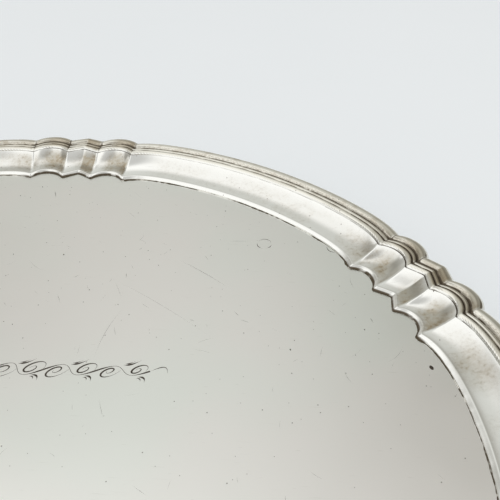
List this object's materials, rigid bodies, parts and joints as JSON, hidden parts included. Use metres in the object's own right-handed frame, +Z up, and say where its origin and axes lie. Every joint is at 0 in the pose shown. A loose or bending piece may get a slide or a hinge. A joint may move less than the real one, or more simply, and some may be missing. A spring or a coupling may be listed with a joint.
{
  "type": "silver salver",
  "caption": "Round footed salver: a flat plate with a raised, mitred border of arcs, scallops and points, standing on cast feet.",
  "frame": {"origin": "on the surface that the salver stands on, on the plate's axis", "axes": "+Z up; +Y through the first corner of the border, above the first foot; +X through the middle of a long arc"},
  "size_m": [0.305, 0.3048, 0.0248],
  "materials": {
    "plate_silver": "polished sterling silver, finely scratched",
    "border_silver": "polished sterling silver, tarnish left in the grooves",
    "foot_silver": "cast sterling silver, polished"
  },
  "bodies": {
    "root": {"plate": "plate_silver", "scallop_left_1": "border_silver", "bracket_1": "border_silver", "scallop_right_1": "border_silver", "long_arc_1": "border_silver", "scallop_left_2": "border_silver", "bracket_2": "border_silver", "scallop_right_2": "border_silver", "long_arc_2": "border_silver", "scallop_left_3": "border_silver", "bracket_3": "border_silver", "scallop_right_3": "border_silver", "long_arc_3": "border_silver", "scallop_left_4": "border_silver", "bracket_4": "border_silver", "scallop_right_4": "border_silver", "long_arc_4": "border_silver", "scallop_left_5": "border_silver", "bracket_5": "border_silver", "scallop_right_5": "border_silver", "long_arc_5": "border_silver", "scallop_left_6": "border_silver", "bracket_6": "border_silver", "scallop_right_6": "border_silver", "long_arc_6": "border_silver", "foot_1": "foot_silver", "foot_2": "foot_silver", "foot_3": "foot_silver"}
  },
  "joints": []
}
